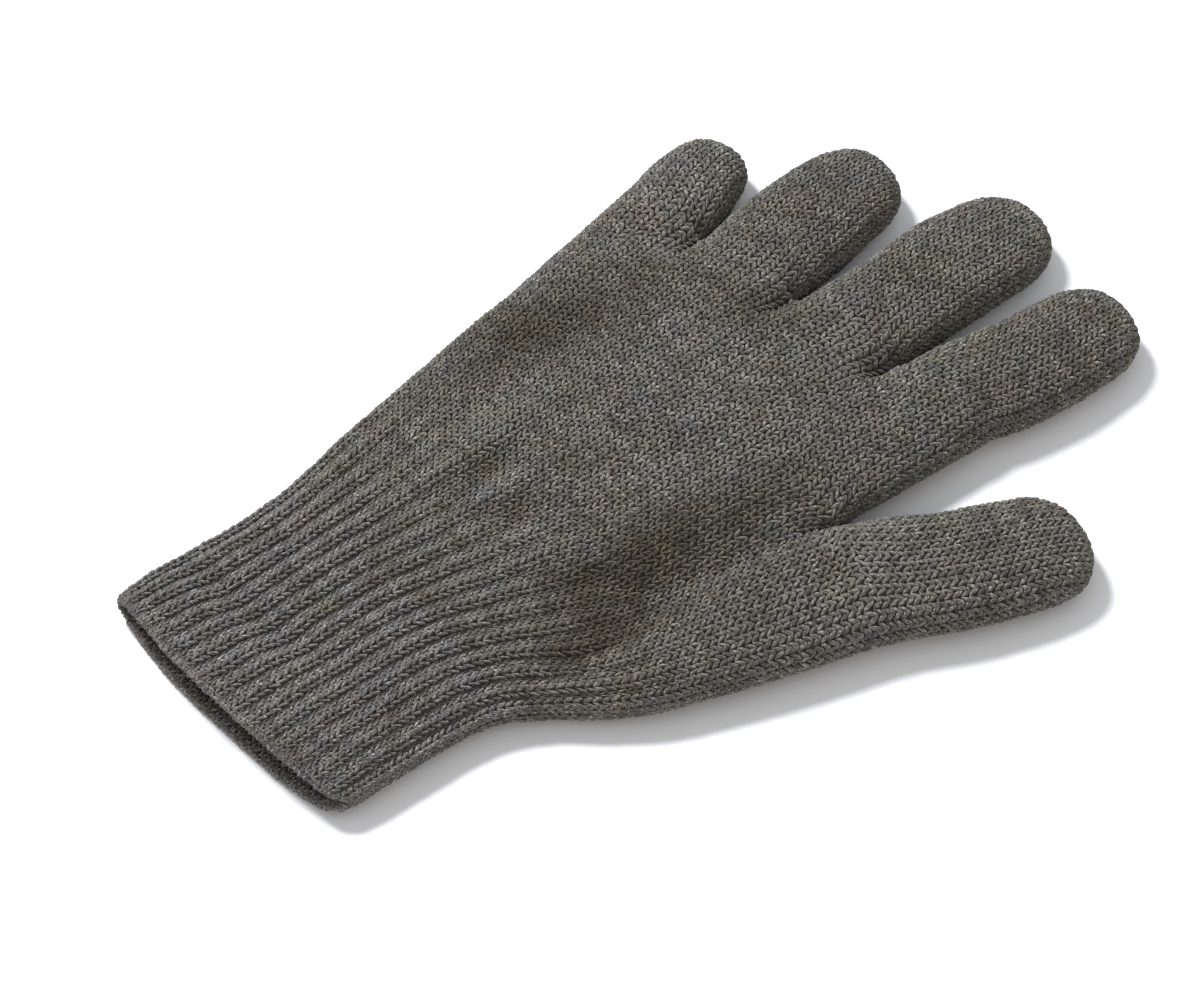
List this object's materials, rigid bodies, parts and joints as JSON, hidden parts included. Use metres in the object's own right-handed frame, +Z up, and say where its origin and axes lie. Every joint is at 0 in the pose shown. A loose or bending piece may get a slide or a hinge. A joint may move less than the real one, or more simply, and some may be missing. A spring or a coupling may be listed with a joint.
{
  "type": "heat protection glove",
  "caption": "Thick grey knitted glove with rounded fingers and thumb and a ribbed cuff, lying flat and open at the mouth.",
  "frame": {"origin": "on the floor under the middle of the glove", "axes": "+X across the glove towards the thumb, +Y from the cuff to the fingertips, +Z up from the floor through the back of the hand"},
  "size_m": [0.17, 0.252, 0.017],
  "materials": {
    "grey_knit": "matt, coarse plain knit in mottled grey yarn",
    "ribbed_knit": "matt, ribbed knit in mottled grey yarn"
  },
  "bodies": {
    "root": {"cuff": "ribbed_knit", "hand": "grey_knit", "thumb": "grey_knit", "index_finger": "grey_knit", "middle_finger": "grey_knit", "ring_finger": "grey_knit", "little_finger": "grey_knit"}
  },
  "joints": []
}
